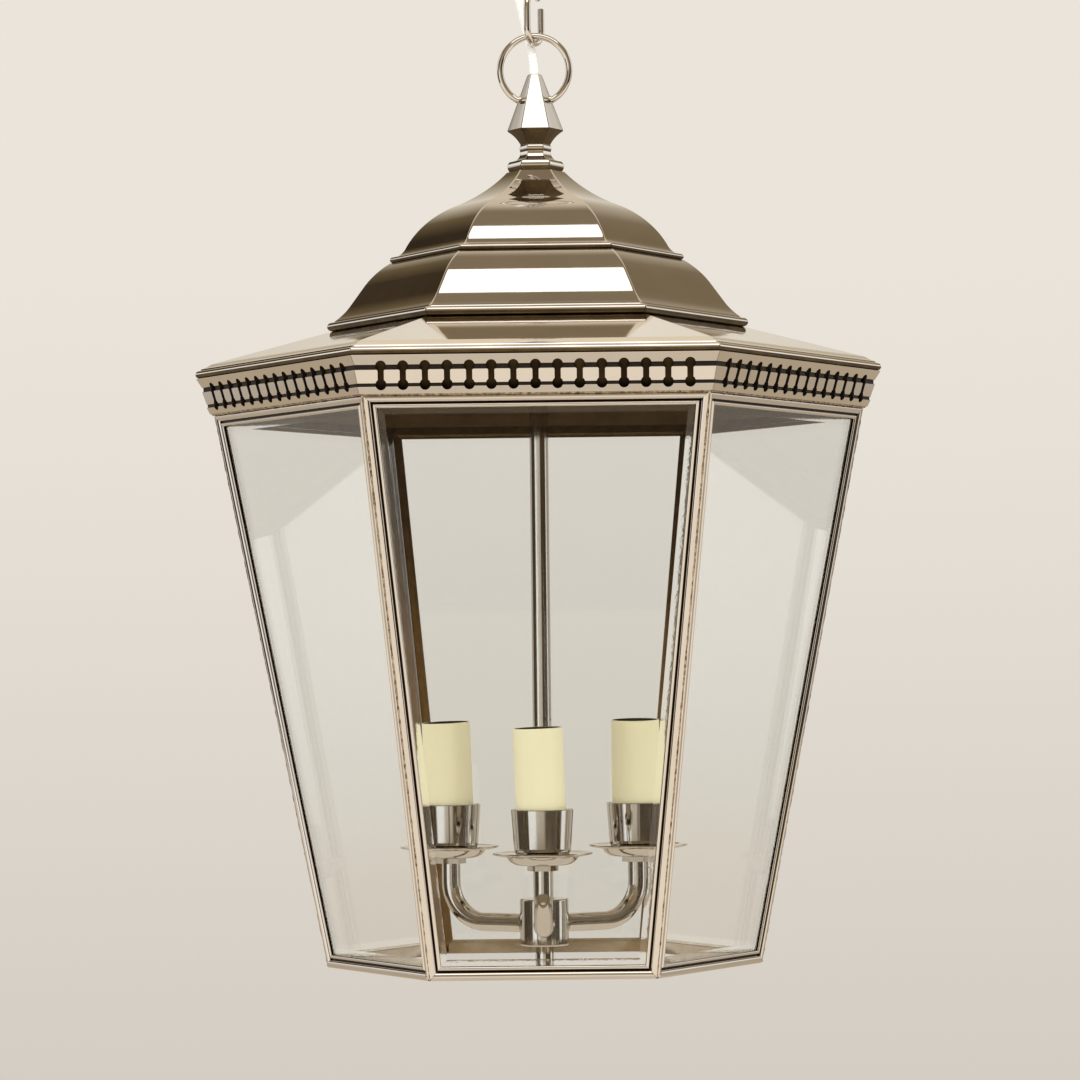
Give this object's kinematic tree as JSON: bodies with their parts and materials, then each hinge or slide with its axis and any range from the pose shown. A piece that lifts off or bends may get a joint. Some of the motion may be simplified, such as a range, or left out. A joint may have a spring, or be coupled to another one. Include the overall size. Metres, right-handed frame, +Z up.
{
  "type": "hexagonal hanging porch lantern",
  "caption": "Hexagonal hanging porch lantern with bevelled glass in a leaning nickel frame, pierced gallery, stepped ogee roof, hanging ring and a candle light cluster.",
  "frame": {"origin": "the inner top of the chain link, where it rests on its hook", "axes": "+Z up along the lantern's axis, -Y out of the pane that faces the viewer, +X through a corner post"},
  "size_m": [0.3678, 0.3186, 0.5384],
  "materials": {
    "polished_nickel": "polished nickel plate on brass",
    "bevelled_glass": "clear float glass with a ground bevel",
    "ivory_candle": "cream moulded sleeve",
    "black_moulding": "black moulded lampholder",
    "clear_flex": "clear PVC round flex"
  },
  "bodies": {
    "chain_link": {"chain_link": "polished_nickel", "flex_upper": "clear_flex"},
    "hanging_ring": {"hanging_ring": "polished_nickel"},
    "lantern": {"corner_post_1": "polished_nickel", "corner_post_2": "polished_nickel", "corner_post_3": "polished_nickel", "corner_post_4": "polished_nickel", "corner_post_5": "polished_nickel", "corner_post_6": "polished_nickel", "top_rail_1": "polished_nickel", "top_rail_2": "polished_nickel", "top_rail_3": "polished_nickel", "top_rail_4": "polished_nickel", "top_rail_5": "polished_nickel", "top_rail_6": "polished_nickel", "bottom_rail_1": "polished_nickel", "bottom_rail_2": "polished_nickel", "bottom_rail_3": "polished_nickel", "bottom_rail_4": "polished_nickel", "bottom_rail_5": "polished_nickel", "bottom_rail_6": "polished_nickel", "gallery_strip_1": "polished_nickel", "gallery_strip_2": "polished_nickel", "gallery_strip_3": "polished_nickel", "gallery_strip_4": "polished_nickel", "gallery_strip_5": "polished_nickel", "gallery_strip_6": "polished_nickel", "gallery_liner": "polished_nickel", "roof_skirt": "polished_nickel", "roof_lower_tier": "polished_nickel", "roof_upper_tier": "polished_nickel", "finial": "polished_nickel", "centre_rod": "polished_nickel", "crown_washer": "polished_nickel", "crown_nut": "polished_nickel", "arm_hub": "polished_nickel", "rod_plug": "polished_nickel", "arm_nuts": "polished_nickel", "candle_arm_1": "polished_nickel", "candle_arm_2": "polished_nickel", "candle_arm_3": "polished_nickel", "drip_pan_1": "polished_nickel", "drip_pan_2": "polished_nickel", "drip_pan_3": "polished_nickel", "candle_cup_1": "polished_nickel", "candle_cup_2": "polished_nickel", "candle_cup_3": "polished_nickel", "glass_pane_1": "bevelled_glass", "glass_pane_2": "bevelled_glass", "glass_pane_3": "bevelled_glass", "glass_pane_4": "bevelled_glass", "glass_pane_5": "bevelled_glass", "glass_pane_6": "bevelled_glass", "candle_tube_1": "ivory_candle", "candle_tube_2": "ivory_candle", "candle_tube_3": "ivory_candle", "lampholder_1": "black_moulding", "lampholder_2": "black_moulding", "lampholder_3": "black_moulding", "flex_lower": "clear_flex"}
  },
  "joints": [
    {"name": "ring_swing", "type": "hinge", "parent": "chain_link", "child": "hanging_ring", "pos_m": [0, 0, -0.02475], "axis": [0.4695, 0.8829, 0], "range_deg": [-35, 35], "deforming": ["flex_upper", "flex_lower"]},
    {"name": "lantern_swing", "type": "hinge", "parent": "hanging_ring", "child": "lantern", "pos_m": [0, 0, -0.05535], "axis": [1, 0, 0], "range_deg": [-45, 45], "deforming": ["flex_lower", "flex_upper"]}
  ]
}
